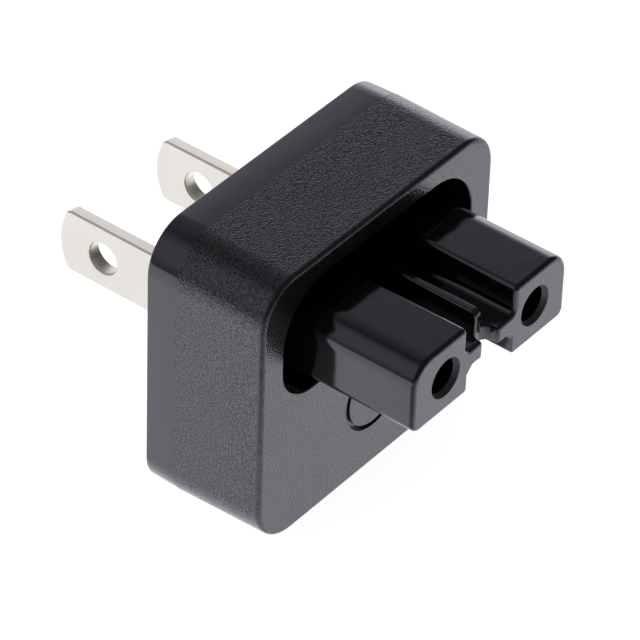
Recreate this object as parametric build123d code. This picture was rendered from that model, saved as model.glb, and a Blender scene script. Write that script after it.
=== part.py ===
"""Interchangeable plug clip: a clip-on mains plug for a wall charger.

Frame: X across, -Y towards the coupler nose, +Y towards the blades, +Z up.
The origin is the middle of the flat underside. Lengths are in millimetres.
"""

from build123d import *
import os

# Body
BODY_WIDTH = 30.75
BODY_HEIGHT = 27.5
BODY_DEPTH = 12.15
BAND_DEPTH = 3.05
SIDE_DRAFT = 0.06
TOP_DRAFT = 0.25
CORNER_RADIUS = 4.2
FRONT_EDGE_RADIUS = 0.42
REAR_EDGE_CHAMFER = 0.2
WALL = 1.8

# Weld lip of the cover inside the housing
LIP_HEIGHT = 1.2
LIP_THICKNESS = 0.8
LIP_CLEARANCE = 0.1

# Coupler nose: two barrels joined by a web
NOSE_LENGTH = 11.5
NOSE_WIDTH = 20.6
NOSE_HEIGHT = 6.84
NOSE_BELOW_TOP = 4.56
NOSE_TOP_RADIUS = 2.3
NOSE_BOTTOM_RADIUS = 0.85
NOSE_INNER_RADIUS = 0.3
NOSE_EDGE_RADIUS = 0.3
UPPER_GAP = 6.5
LOWER_GAP = 6.1
WEB_BELOW_TOP = 2.74
WEB_THICKNESS = 1.7
WEB_TOP_FILLET = 0.6
WEB_BOTTOM_FILLET = 0.9
RIB_WIDTH = 0.95
RIB_HEIGHT = 1.72
RIB_END_RADIUS = 0.6
RIB_SETBACK = 0.1
NOTCH_RADIUS = 1.05
NOTCH_STRAIGHT = 0.4

# Pocket round the nose
POCKET_GAP = 2.25
POCKET_DEPTH = 5.0
POCKET_FLOOR = 1.4
POCKET_TOP_RADIUS = 5.3
POCKET_BOTTOM_RADIUS = 3.9

# Ring groove in the front face
RING_RADIUS = 3.84
RING_WIDTH = 0.48
RING_DEPTH = 0.45
RING_BELOW_POCKET = 5.9

# Sockets in the barrels
SOCKET_PITCH = 12.05
SOCKET_ABOVE_NOSE_BOTTOM = 3.32
MOUTH_RADIUS = 1.86
MOUTH_LENGTH = 0.75
SLEEVE_BORE_RADIUS = 1.8
SLEEVE_SHEET = 0.4
SLEEVE_CLEARANCE = 0.05
SLEEVE_RECESS = 4.0
SLEEVE_SLIT = 0.5
SLEEVE_SLIT_LENGTH = 8.0

# Blades
BLADE_PITCH = 12.7
BLADE_WIDTH = 6.35
BLADE_THICKNESS = 1.4
BLADE_LENGTH = 16.55
BLADE_EDGE_CHAMFER = 0.2
TIP_RADIUS = 6.35
TIP_CORNER_RADIUS = 0.6
LOCK_HOLE_RADIUS = 1.59
LOCK_HOLE_FROM_FACE = 11.75
LOCK_HOLE_CHAMFER = 0.2
BEND_RADIUS = 0.5
SLOT_CLEARANCE = 0.05
COVER_PLATE = 1.6

# Rivets
RIVET_RADIUS = 0.8
RIVET_HEAD_RADIUS = 1.2
RIVET_HEAD_HEIGHT = 0.6
RIVET_SINK_DEPTH = 0.3
RIVET_INSET = 1.95
RIVET_BELOW_SOCKET = 5.6
RIVET_LAND = 0.5

# Posts that clamp the socket flanges to the cover
POST_WIDTH = 2.2
POST_HEIGHT = 1.6

# Levels along Y
FRONT_Y = -BODY_DEPTH / 2
REAR_Y = BODY_DEPTH / 2
JOINT_Y = REAR_Y - BAND_DEPTH
COVER_INNER_Y = REAR_Y - COVER_PLATE
FOOT_FRONT_Y = COVER_INNER_Y - BLADE_THICKNESS
FLANGE_FRONT_Y = FOOT_FRONT_Y - SLEEVE_SHEET
POCKET_FLOOR_Y = FRONT_Y + POCKET_DEPTH
CAVITY_FRONT_Y = POCKET_FLOOR_Y + POCKET_FLOOR
NOSE_END_Y = FRONT_Y - NOSE_LENGTH
SLEEVE_FRONT_Y = NOSE_END_Y + SLEEVE_RECESS
BLADE_TIP_Y = REAR_Y + BLADE_LENGTH

# Levels along Z
NOSE_TOP_Z = BODY_HEIGHT - NOSE_BELOW_TOP
NOSE_BOTTOM_Z = NOSE_TOP_Z - NOSE_HEIGHT
WEB_TOP_Z = NOSE_TOP_Z - WEB_BELOW_TOP
WEB_BOTTOM_Z = WEB_TOP_Z - WEB_THICKNESS
SOCKET_Z = NOSE_BOTTOM_Z + SOCKET_ABOVE_NOSE_BOTTOM
POCKET_BOTTOM_Z = NOSE_BOTTOM_Z - POCKET_GAP
RING_Z = POCKET_BOTTOM_Z - RING_BELOW_POCKET
RIVET_Z = SOCKET_Z - RIVET_BELOW_SOCKET
BLADE_Z = BODY_HEIGHT / 2

SLEEVE_RADIUS = SLEEVE_BORE_RADIUS + SLEEVE_SHEET
SOCKET_BORE_RADIUS = SLEEVE_RADIUS + SLEEVE_CLEARANCE
SIDES = {"left": -1, "right": 1}


def section_plane(y):
    """Plane square to Y at the given level, with its normal towards the nose."""
    return Plane.XZ.offset(-y)


def rivet_x(side):
    """X of a rivet, inboard of the blade's foot bend."""
    return side * (BLADE_PITCH / 2 - RIVET_INSET)


def rounded_outline(width, bottom, top, top_radius, bottom_radius):
    """Upright rectangle centred on X with its own top and bottom corner radii."""
    with BuildSketch() as sketch:
        with Locations((0, (bottom + top) / 2)):
            Rectangle(width, top - bottom)
        corners = sketch.vertices().sort_by(Axis.Y)
        fillet(corners[2:], top_radius)
        fillet(sketch.vertices().sort_by(Axis.Y)[:2], bottom_radius)
    return sketch.sketch


def body_outline(inset=0.0):
    """Cross-section of the body at its back, drawn in evenly on all sides."""
    radius = CORNER_RADIUS - inset
    return rounded_outline(BODY_WIDTH - 2 * inset, inset, BODY_HEIGHT - inset, radius, radius)


def slab(outline, y_from, y_to):
    """Outline extruded along Y between two levels, y_from being the rear one."""
    return extrude(section_plane(y_from) * outline, amount=y_from - y_to)


def nose_profile():
    """Section of the nose: two barrels with the web between them, and the rib left off."""
    outer = rounded_outline(
        NOSE_WIDTH, NOSE_BOTTOM_Z, NOSE_TOP_Z, NOSE_TOP_RADIUS, NOSE_BOTTOM_RADIUS
    )
    with BuildSketch() as sketch:
        add(outer)
        gaps = ((LOWER_GAP, NOSE_BOTTOM_Z, WEB_BOTTOM_Z), (UPPER_GAP, WEB_TOP_Z, NOSE_TOP_Z))
        for gap, low, high in gaps:
            with Locations((0, (low + high) / 2)):
                Rectangle(gap, high - low, mode=Mode.SUBTRACT)
        reach = max(UPPER_GAP, LOWER_GAP) / 2 + 1e-4
        inner = sketch.vertices().filter_by(lambda v: abs(v.X) < reach)
        _, web_bottom, web_top, top_edges = inner.group_by(Axis.Y)
        fillet(web_top, WEB_TOP_FILLET)
        fillet(web_bottom, WEB_BOTTOM_FILLET)
        fillet(top_edges, NOSE_INNER_RADIUS)
    return sketch.sketch


def make_nose():
    """Coupler nose from the pocket floor to its end face, before it is bored."""
    nose = slab(nose_profile(), POCKET_FLOOR_Y, NOSE_END_Y)
    end_edges = nose.faces().sort_by(Axis.Y)[0].outer_wire().edges()
    nose = fillet(end_edges, NOSE_EDGE_RADIUS)
    notch_y = NOSE_END_Y + NOTCH_STRAIGHT
    rib_length = POCKET_FLOOR_Y - (notch_y + NOTCH_RADIUS + RIB_SETBACK)
    rib = Pos(0, POCKET_FLOOR_Y - rib_length / 2, WEB_TOP_Z + RIB_HEIGHT / 2) * Box(
        RIB_WIDTH, rib_length, RIB_HEIGHT
    )
    rib_end = rib.edges().filter_by(Axis.X).group_by(Axis.Y)[0].sort_by(Axis.Z)[-1]
    rib = fillet(rib_end, RIB_END_RADIUS)
    notch = Pos(0, notch_y, WEB_TOP_Z) * Cylinder(NOTCH_RADIUS, NOSE_HEIGHT)
    notch += Pos(0, NOSE_END_Y, WEB_TOP_Z) * Box(
        2 * NOTCH_RADIUS, 2 * NOTCH_STRAIGHT, NOSE_HEIGHT
    )
    return nose + rib - notch


def make_block():
    """Outside of the housing: a block drawn in at its sides and top towards the front."""
    half = BODY_WIDTH / 2
    plan = Polyline(
        (-half, JOINT_Y), (half, JOINT_Y),
        (half - SIDE_DRAFT, FRONT_Y), (SIDE_DRAFT - half, FRONT_Y), close=True,
    )
    side = Polyline(
        (JOINT_Y, 0), (JOINT_Y, BODY_HEIGHT),
        (FRONT_Y, BODY_HEIGHT - TOP_DRAFT), (FRONT_Y, 0), close=True,
    )
    block = extrude(make_face(plan), amount=BODY_HEIGHT)
    block &= extrude(Plane.YZ * make_face(side), amount=half, both=True)
    long_edges = block.edges().filter_by(lambda e: abs((e @ 1 - e @ 0).Y) > BODY_DEPTH / 2)
    block = fillet(long_edges, CORNER_RADIUS)
    front_edges = block.faces().sort_by(Axis.Y)[0].outer_wire().edges()
    return fillet(front_edges, FRONT_EDGE_RADIUS)


def make_front_housing():
    """Textured shell with the pocket, the coupler nose and the clamp posts in one moulding."""
    shell = make_block()
    pocket = rounded_outline(
        NOSE_WIDTH + 2 * POCKET_GAP,
        POCKET_BOTTOM_Z,
        NOSE_TOP_Z + POCKET_GAP,
        POCKET_TOP_RADIUS,
        POCKET_BOTTOM_RADIUS,
    )
    shell -= slab(pocket, POCKET_FLOOR_Y, FRONT_Y)
    shell -= slab(body_outline(WALL), JOINT_Y, CAVITY_FRONT_Y)
    lower_top_z = POCKET_BOTTOM_Z - POCKET_FLOOR
    lower_corner = CORNER_RADIUS - WALL
    lower = rounded_outline(BODY_WIDTH - 2 * WALL, WALL, lower_top_z, lower_corner, lower_corner)
    shell -= slab(lower, CAVITY_FRONT_Y, FRONT_Y + WALL)

    ring_plane = section_plane(FRONT_Y + RING_DEPTH)
    ring = Circle(RING_RADIUS) - Circle(RING_RADIUS - RING_WIDTH)
    shell -= extrude(ring_plane * Pos(0, RING_Z) * ring, amount=RING_DEPTH)

    shell += make_nose()
    for side in SIDES.values():
        centre = Pos(side * SOCKET_PITCH / 2, SOCKET_Z)
        bore = centre * Circle(SOCKET_BORE_RADIUS)
        shell -= slab(bore, CAVITY_FRONT_Y, NOSE_END_Y + MOUTH_LENGTH)
        shell -= slab(centre * Circle(MOUTH_RADIUS), NOSE_END_Y + MOUTH_LENGTH, NOSE_END_Y)
        shell += make_clamp_post(side)
    return shell


def make_clamp_post(side):
    """Post behind the pocket floor that holds one socket flange against its blade's foot."""
    x = (rivet_x(side) + side * SOCKET_PITCH / 2) / 2
    z = SOCKET_Z - SOCKET_BORE_RADIUS - POST_HEIGHT / 2
    post = Pos(x, z) * Rectangle(POST_WIDTH, POST_HEIGHT)
    return slab(post, FLANGE_FRONT_Y, CAVITY_FRONT_Y)


def make_rear_cover():
    """Smooth tray that closes the back, with a weld lip and a slot for each blade."""
    cover = slab(body_outline(), REAR_Y, JOINT_Y)
    rear_edges = cover.faces().sort_by(Axis.Y)[-1].outer_wire().edges()
    cover = chamfer(rear_edges, REAR_EDGE_CHAMFER)
    lip_inset = WALL + LIP_CLEARANCE
    lip_inner_inset = lip_inset + LIP_THICKNESS
    cover += slab(body_outline(lip_inset), COVER_INNER_Y, JOINT_Y - LIP_HEIGHT)
    cover -= slab(body_outline(lip_inner_inset), COVER_INNER_Y, JOINT_Y - LIP_HEIGHT)
    for side in SIDES.values():
        slot = Pos(side * BLADE_PITCH / 2, BLADE_Z) * Rectangle(
            BLADE_THICKNESS + 2 * SLOT_CLEARANCE, BLADE_WIDTH + 2 * SLOT_CLEARANCE
        )
        cover -= slab(slot, REAR_Y, COVER_INNER_Y)
    return cover


def blade_outline():
    """Side view of the blade, in Y and Z, from the back of its foot to its arched tip."""
    half = BLADE_WIDTH / 2
    arc_drop = TIP_RADIUS - (TIP_RADIUS**2 - half**2) ** 0.5
    corner_y = BLADE_TIP_Y - arc_drop
    with BuildSketch() as sketch:
        with BuildLine():
            Polyline(
                (corner_y, BLADE_Z + half),
                (FOOT_FRONT_Y, BLADE_Z + half),
                (FOOT_FRONT_Y, BLADE_Z - half),
                (corner_y, BLADE_Z - half),
            )
            ThreePointArc(
                (corner_y, BLADE_Z - half), (BLADE_TIP_Y, BLADE_Z), (corner_y, BLADE_Z + half)
            )
        make_face()
        tips = sketch.vertices().sort_by(Axis.X)[-2:]
        fillet(tips, TIP_CORNER_RADIUS)
    return sketch.sketch


def make_blade(side):
    """Flat blade with its lock hole, and a foot bent towards the middle of the body."""
    x = side * BLADE_PITCH / 2
    blade_plane = Plane(origin=(x - BLADE_THICKNESS / 2, 0, 0), x_dir=(0, 1, 0), z_dir=(1, 0, 0))
    blade = extrude(blade_plane * blade_outline(), amount=BLADE_THICKNESS)
    outside = blade.edges().filter_by(
        lambda e: e.center().Y > COVER_INNER_Y and abs(e.center().X - x) > BLADE_THICKNESS / 4
    )
    blade = chamfer(outside, BLADE_EDGE_CHAMFER)

    hole_y = REAR_Y + LOCK_HOLE_FROM_FACE
    hole = Pos(x, hole_y, BLADE_Z) * Rot(0, 90, 0) * Cylinder(LOCK_HOLE_RADIUS, BLADE_THICKNESS)
    blade -= hole
    rims = blade.edges().filter_by(GeomType.CIRCLE).filter_by(
        lambda e: abs(e.radius - LOCK_HOLE_RADIUS) < 1e-4
    )
    blade = chamfer(rims, LOCK_HOLE_CHAMFER)

    outer_x = x + side * BLADE_THICKNESS / 2
    inner_x = rivet_x(side) - side * (RIVET_HEAD_RADIUS + RIVET_LAND)
    foot_centre = Pos((outer_x + inner_x) / 2, (FOOT_FRONT_Y + COVER_INNER_Y) / 2, BLADE_Z)
    foot = foot_centre * Box(abs(outer_x - inner_x), BLADE_THICKNESS, BLADE_WIDTH)
    bend = foot.edges().filter_by(Axis.Z).filter_by(
        lambda e: abs(e.center().X - outer_x) < 1e-4 and e.center().Y < COVER_INNER_Y - 1e-4
    )
    foot = fillet(bend, BEND_RADIUS)
    blade = blade - foot_centre * Box(abs(outer_x - inner_x), BLADE_THICKNESS, BLADE_WIDTH) + foot
    return blade - make_rivet(side)


def make_socket(side):
    """Split spring sleeve for a charger pin, with a flange that is riveted to the blade's foot."""
    axis = Pos(side * SOCKET_PITCH / 2, SOCKET_Z)
    sleeve = slab(axis * (Circle(SLEEVE_RADIUS) - Circle(SLEEVE_BORE_RADIUS)),
                  FLANGE_FRONT_Y, SLEEVE_FRONT_Y)
    slit = axis * Rectangle(SLEEVE_SLIT, 3 * SLEEVE_RADIUS)
    sleeve -= slab(slit, SLEEVE_FRONT_Y + SLEEVE_SLIT_LENGTH, SLEEVE_FRONT_Y)
    with BuildSketch() as flange:
        with Locations((side * SOCKET_PITCH / 2, SOCKET_Z)):
            Circle(SLEEVE_RADIUS)
        with Locations((rivet_x(side), RIVET_Z)):
            Circle(RIVET_HEAD_RADIUS + RIVET_LAND / 2)
        make_hull()
    plate = slab(flange.sketch, FOOT_FRONT_Y, FLANGE_FRONT_Y)
    return sleeve + plate - make_rivet(side)


def make_rivet(side):
    """Rivet through the socket's flange, closed flush in the back of the blade's foot."""
    head_y = FLANGE_FRONT_Y - RIVET_HEAD_HEIGHT
    half = Polyline(
        (0, head_y),
        (0, COVER_INNER_Y),
        (RIVET_HEAD_RADIUS, COVER_INNER_Y),
        (RIVET_RADIUS, COVER_INNER_Y - RIVET_SINK_DEPTH),
        (RIVET_RADIUS, FLANGE_FRONT_Y),
        (RIVET_HEAD_RADIUS, FLANGE_FRONT_Y),
        (RIVET_HEAD_RADIUS, head_y),
        close=True,
    )
    return Pos(rivet_x(side), 0, RIVET_Z) * revolve(make_face(half), Axis.Y)


def main():
    """Build every piece and write one file for each."""
    pieces = {"front_housing": make_front_housing(), "rear_cover": make_rear_cover()}
    for name, side in SIDES.items():
        pieces[f"blade_{name}"] = make_blade(side)
        pieces[f"socket_{name}"] = make_socket(side)
        pieces[f"rivet_{name}"] = make_rivet(side)
    os.makedirs("parts", exist_ok=True)
    for node, shape in pieces.items():
        export_step(shape, f"parts/{node}.step")


if __name__ == "__main__":
    main()
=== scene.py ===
"""Interchangeable plug clip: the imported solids, dressed and lit as a studio product picture.

Frame: X across, -Y towards the coupler nose, +Y towards the blades, +Z up, metres. The sizes in the
classes are millimetres, and each mesh is scaled to metres as it is made.
"""

import logging
import math
from dataclasses import dataclass
from enum import Enum
from functools import cache
from typing import Iterable, Sequence

import bmesh
import bpy
from mathutils import Matrix, Vector

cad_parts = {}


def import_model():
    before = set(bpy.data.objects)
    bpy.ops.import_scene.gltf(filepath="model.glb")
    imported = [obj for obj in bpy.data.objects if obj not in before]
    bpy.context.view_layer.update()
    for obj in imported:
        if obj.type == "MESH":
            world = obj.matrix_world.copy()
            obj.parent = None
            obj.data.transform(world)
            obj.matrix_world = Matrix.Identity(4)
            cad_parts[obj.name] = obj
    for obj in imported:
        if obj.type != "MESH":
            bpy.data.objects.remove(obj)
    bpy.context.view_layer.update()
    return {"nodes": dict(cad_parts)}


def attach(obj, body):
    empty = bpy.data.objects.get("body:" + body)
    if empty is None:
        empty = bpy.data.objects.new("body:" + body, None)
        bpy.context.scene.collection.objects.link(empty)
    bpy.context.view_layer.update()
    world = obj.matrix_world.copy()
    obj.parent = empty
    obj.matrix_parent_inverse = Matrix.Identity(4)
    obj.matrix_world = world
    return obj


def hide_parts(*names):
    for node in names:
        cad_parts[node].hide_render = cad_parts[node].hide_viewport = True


LOG = logging.getLogger("plug_clip")
MM = 0.001
BODY = "root"
# Largest part of a normal above which a face counts as flat and square to the frame.
LEVEL = 0.99995
# Points closer than this are one point, in millimetres.
SAME = 1e-4
# How far a cutting tool reaches past the surface that it opens, in millimetres.
PAST = 1.0
# How far a tool runs into the hollow behind its cut, or past a thin plate, in millimetres.
OVERLAP = 0.5
# Least share of a corner's opening, which keeps the point of a sharp corner from running away.
LEAST_SHARE = 0.2
# The part of its range that a noise texture mostly keeps to.
NOISE_RANGE = (0.25, 0.75)
# Mirror strength of a plain plastic, as Blender counts it.
PLAIN_MIRROR = 0.5
WHITE = (1.0, 1.0, 1.0, 1.0)

Point = tuple[float, float]
Section = tuple[float | list[float], list[Point]]
Colour = tuple[float, float, float, float]
Solid = bpy.types.Object
Material = bpy.types.Material
Tree = bpy.types.NodeTree
Socket = bpy.types.NodeSocket


class Run(Enum):
    """The axis that a loft runs along. Its outlines lie in the other two axes."""

    X = "x"
    Y = "y"
    Z = "z"

    def place(self, u: float, v: float, level: float) -> Vector:
        """Turn an outline's point at a level along the run into a point of the frame, in metres."""
        x, y, z = {Run.X: (level, u, v), Run.Y: (u, level, v), Run.Z: (u, v, level)}[self]
        return Vector((x, y, z)) * MM


class Side(Enum):
    """The two sides of the part, by the sign of X."""

    LEFT = -1
    RIGHT = 1


class Cut(Enum):
    """What a tool does to the mesh that it meets."""

    REMOVE = "DIFFERENCE"
    JOIN = "UNION"


class Ease(Enum):
    """How a value runs from one end of a range to the other."""

    STRAIGHT = "LINEAR"
    SOFT = "SMOOTHSTEP"


class Sum(Enum):
    """How two values make one."""

    ADD = "ADD"
    MULTIPLY = "MULTIPLY"
    LARGER = "MAXIMUM"


class Zone(Enum):
    """Surfaces of the front housing that the mould finished in different ways. The mouths' lead-ins also
    carry painted light in their colour.
    """

    GRAIN = 0
    EDGE = 1
    POLISH = 2
    END = 3
    MOUTH = 4


def linear(code: str) -> Colour:
    """Turn an sRGB hex code into a linear colour.

    Args:
        code: six hex digits, with or without a leading hash.

    Returns:
        Linear red, green and blue, and an alpha of one.
    """
    digits = code.lstrip("#")
    channels = [int(digits[i:i + 2], 16) / 255 for i in (0, 2, 4)]
    steps = [c / 12.92 if c <= 0.04045 else ((c + 0.055) / 1.055) ** 2.4 for c in channels]
    return (steps[0], steps[1], steps[2], 1.0)


def shaded(colour: Colour, share: float) -> Colour:
    """Make a colour darker, or lighter where the share is above one."""
    return (colour[0] * share, colour[1] * share, colour[2] * share, colour[3])


def spread(middle: float, share: float) -> tuple[float, float]:
    """Range about a middle value, by a share of it to either side."""
    return middle * (1 - share), middle * (1 + share)


def direction(azimuth_deg: float, elevation_deg: float) -> Vector:
    """Unit vector towards an azimuth about Z, from +X towards +Y, and an elevation above the table."""
    azimuth, elevation = math.radians(azimuth_deg), math.radians(elevation_deg)
    return Vector((
        math.cos(azimuth) * math.cos(elevation), math.sin(azimuth) * math.cos(elevation), math.sin(elevation)
    ))


def add_node(
    tree: Tree,
    kind: str,
    settings: dict | None = None,
    values: dict | None = None,
    links: dict | None = None,
) -> bpy.types.Node:
    """Add one node to a tree.

    Args:
        tree: the tree that takes the node.
        kind: Blender's type name of the node.
        settings: values of the node's own properties.
        values: values of its inputs, by name or place.
        links: output sockets that feed its inputs, by name or place.

    Returns:
        The new node.
    """
    node = tree.nodes.new(kind)
    for name, value in (settings or {}).items():
        setattr(node, name, value)
    for key, value in (values or {}).items():
        node.inputs[key].default_value = value
    for key, socket in (links or {}).items():
        tree.links.new(socket, node.inputs[key])
    return node


def noise(tree: Tree, place: Socket, scale: float, detail: float, rough: float = 0.5) -> Socket:
    """Add a noise texture.

    Args:
        tree: the tree that takes it.
        place: socket of the place that it is read at.
        scale: its cells in a metre, or in a unit of the place.
        detail: number of its finer layers.
        rough: strength of each finer layer against the one before.

    Returns:
        The socket of its value.
    """
    node = add_node(
        tree, "ShaderNodeTexNoise",
        values={"Scale": scale, "Detail": detail, "Roughness": rough}, links={"Vector": place},
    )
    return node.outputs["Fac"]


def map_range(
    tree: Tree,
    value: Socket,
    start: float,
    full: float,
    low: float = 0.0,
    high: float = 1.0,
    ease: Ease = Ease.STRAIGHT,
) -> Socket:
    """Add a node that turns one range of a value into another.

    Args:
        tree: the tree that takes the node.
        value: the value's socket.
        start: value at which the result is low.
        full: value at which the result is high.
        low: result at the start.
        high: result at the full value.
        ease: how the result runs from low to high.

    Returns:
        The socket of the result.
    """
    node = add_node(
        tree, "ShaderNodeMapRange", {"interpolation_type": ease.value},
        {"From Min": start, "From Max": full, "To Min": low, "To Max": high}, {"Value": value},
    )
    return node.outputs["Result"]


def blend(tree: Tree, share: Socket, first: Colour, second: Colour) -> Socket:
    """Add a mix of two colours, which is the second one where the share is one."""
    node = add_node(
        tree, "ShaderNodeMix", {"data_type": "RGBA"}, {"A": first, "B": second}, {"Factor": share}
    )
    return node.outputs["Result"]


def combine(tree: Tree, way: Sum, first: Socket, second: Socket) -> Socket:
    """Add a node that works out one value from two."""
    node = add_node(tree, "ShaderNodeMath", {"operation": way.value}, links={0: first, 1: second})
    return node.outputs["Value"]


def distance(tree: Tree, place: Socket, middle: Vector) -> Socket:
    """Add the distance in metres of a place from a middle, which is given in millimetres."""
    node = add_node(
        tree, "ShaderNodeVectorMath", {"operation": "DISTANCE"}, {1: middle * MM}, {0: place}
    )
    return node.outputs["Value"]


def relief(tree: Tree, height: Socket, depth_mm: float) -> Socket:
    """Add a relief of a given depth to a surface.

    Args:
        tree: the material's tree.
        height: socket of the relief's height, from 0 to 1.
        depth_mm: what a height of 1 stands for.

    Returns:
        The socket of the surface's normal.
    """
    node = add_node(
        tree, "ShaderNodeBump",
        values={"Strength": 1.0, "Distance": depth_mm * MM}, links={"Height": height},
    )
    return node.outputs["Normal"]


def new_material(name: str) -> tuple[Material, Tree]:
    """Make a material with an empty node tree.

    Args:
        name: name of the material.

    Returns:
        The material and its tree.
    """
    material = bpy.data.materials.new(name)
    material.use_nodes = True
    material.node_tree.nodes.clear()
    return material, material.node_tree


def end_material(tree: Tree, values: dict, links: dict) -> None:
    """End a material with a surface that has the given values and links."""
    shader = add_node(tree, "ShaderNodeBsdfPrincipled", values=values, links=links)
    add_node(tree, "ShaderNodeOutputMaterial", links={"Surface": shader.outputs["BSDF"]})


@dataclass(frozen=True)
class MouldedPlastic:
    """Black polycarbonate and ABS blend, with the finish that its mould gave it.

    Attributes:
        name: name of the material.
        colour: sRGB code of the plastic.
        roughness: roughness of the surface between its grains.
        grain_mm: size of one grain of the relief.
        grain_depth_mm: height of the relief.
        painted_pit_shade: painted shade and highlight in the relief: share of the gloss that is taken away in
            its pits, for the shade that falls there, and added on its tops.
        grain_detail: number of finer layers in the relief.
        haze_mm: size of the soft patches in the gloss.
        haze_detail: number of finer layers in the patches.
        gloss_spread: share by which the patches change the roughness.
        tint_spread: share by which they change the colour.
        ior: index of refraction.
    """

    name: str
    colour: str
    roughness: float
    grain_mm: float
    grain_depth_mm: float
    painted_pit_shade: float = 0.0
    grain_detail: float = 0.3
    haze_mm: float = 2.5
    haze_detail: float = 3.0
    gloss_spread: float = 0.2
    tint_spread: float = 0.15
    ior: float = 1.61

    @cache
    def material(self) -> Material:
        """Build the material, once for each finish.

        Returns:
            A dielectric whose relief is a fine leathery grain, with painted shade in its pits, and whose
            gloss varies a little.
        """
        material, tree = new_material(self.name)
        place = add_node(tree, "ShaderNodeTexCoord").outputs["Object"]
        grain = noise(tree, place, 1 / (self.grain_mm * MM), self.grain_detail)
        haze = noise(tree, place, 1 / (self.haze_mm * MM), self.haze_detail)
        dark, light = (shaded(linear(self.colour), share) for share in spread(1.0, self.tint_spread))
        end_material(tree, {"IOR": self.ior}, {
            "Base Color": blend(tree, haze, dark, light),
            "Roughness": map_range(tree, haze, 0.0, 1.0, *spread(self.roughness, self.gloss_spread)),
            # Painted shade and highlight: the mirror is weakened in the grain's pits, for their shade, and
            # strengthened on its tops.
            "Specular IOR Level": map_range(tree, grain, *NOISE_RANGE, *spread(PLAIN_MIRROR, self.painted_pit_shade)),
            "Normal": relief(tree, grain, self.grain_depth_mm),
        })
        return material


@dataclass(frozen=True)
class RolledMetal:
    """Sheet metal with the fine lines of rolling along Y.

    Attributes:
        name: name of the material.
        colour: sRGB code of the clean metal.
        dull: sRGB code of its duller patches.
        roughness: mean roughness.
        line_mm: spacing of the rolling lines.
        line_length_mm: length of a rolling line.
        line_depth_mm: depth of the lines.
        line_detail: number of finer layers in the lines.
        line_rough: strength of each finer layer against the one before.
        gloss_spread: share by which the lines change the roughness.
        patch_mm: size of the duller patches.
        patch_detail: number of finer layers in the patches.
    """

    name: str
    colour: str
    dull: str
    roughness: float
    line_mm: float
    line_length_mm: float
    line_depth_mm: float
    line_detail: float = 3.0
    line_rough: float = 0.6
    gloss_spread: float = 0.25
    patch_mm: float = 3.0
    patch_detail: float = 2.0

    @cache
    def material(self) -> Material:
        """Build the material, once for each finish.

        Returns:
            A metal with lines along Y and a soft change of tone from patch to patch.
        """
        material, tree = new_material(self.name)
        place = add_node(tree, "ShaderNodeTexCoord").outputs["Object"]
        across, along = 1 / (self.line_mm * MM), 1 / (self.line_length_mm * MM)
        stretch = add_node(
            tree, "ShaderNodeMapping", values={"Scale": (across, along, across)}, links={"Vector": place}
        )
        lines = noise(tree, stretch.outputs["Vector"], 1.0, self.line_detail, self.line_rough)
        patches = noise(tree, place, 1 / (self.patch_mm * MM), self.patch_detail)
        end_material(tree, {"Metallic": 1.0}, {
            "Base Color": blend(tree, patches, linear(self.colour), linear(self.dull)),
            "Roughness": map_range(tree, lines, 0.0, 1.0, *spread(self.roughness, self.gloss_spread)),
            "Normal": relief(tree, lines, self.line_depth_mm),
        })
        return material


# Spark-eroded grain: broken, leathery highlights over a black that is a little blue, with painted shade in
# the grain's pits.
GRAINED_PLASTIC = MouldedPlastic(
    "abs_spark_grain", "#161618", roughness=0.24, grain_mm=0.16, grain_depth_mm=0.034, painted_pit_shade=0.6
)
# The mould's rounded edges are too narrow to grain, so they stay half smooth, with a little painted shade in
# the pits of their faint relief.
EDGE_PLASTIC = MouldedPlastic(
    "abs_edge_satin", "#141416", roughness=0.3, grain_mm=0.18, grain_depth_mm=0.015, painted_pit_shade=0.3
)
# Polished steel made the nose and the pocket: they mirror what stands round them.
POLISHED_PLASTIC = MouldedPlastic(
    "abs_polished", "#0F0F11", roughness=0.1, grain_mm=1.4, grain_depth_mm=0.01
)
# The nose's end face is fine blasted, so it is an even grey, with a little painted shade in the pits of its
# relief.
END_PLASTIC = MouldedPlastic(
    "abs_fine_blast", "#202022", roughness=0.22, grain_mm=0.16, grain_depth_mm=0.012, painted_pit_shade=0.35
)
# The lead-ins of the socket mouths are matt, and their colour is painted far paler than the black plastic:
# painted light for the grey that their walls show in the shade.
MOUTH_PAINTED_LIGHT_PLASTIC = MouldedPlastic(
    "abs_matt_painted_light", "#48484C", roughness=0.45, grain_mm=0.16, grain_depth_mm=0.012
)
# The cover's band is smooth with a soft gloss.
BAND_PLASTIC = MouldedPlastic(
    "abs_smooth_satin", "#141416", roughness=0.08, grain_mm=1.8, grain_depth_mm=0.01
)
# Bright nickel on stamped brass: warm white, with faint rolling lines along the blade.
NICKEL_PLATE = RolledMetal(
    "nickel_plated_brass", "#CAC7BB", "#C0BDB1",
    roughness=0.2, line_mm=0.09, line_length_mm=3.0, line_depth_mm=0.0012,
)
# The blade's sheared rim under the same plating: rougher, and its colour is painted paler than the plating on
# the faces, as painted light for the light that the rims catch, so it is an even light grey.
NICKEL_EDGE_PAINTED_LIGHT = RolledMetal(
    "nickel_plated_sheared_painted_light", "#ECE5D3", "#E0D9C7",
    roughness=0.42, line_mm=0.12, line_length_mm=0.4, line_depth_mm=0.002,
)
# Bare spring brass, seen only at the bottom of the sockets.
SPRING_BRASS = RolledMetal(
    "spring_brass", "#C8A55A", "#B08D48",
    roughness=0.32, line_mm=0.12, line_length_mm=1.5, line_depth_mm=0.002,
)


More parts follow.
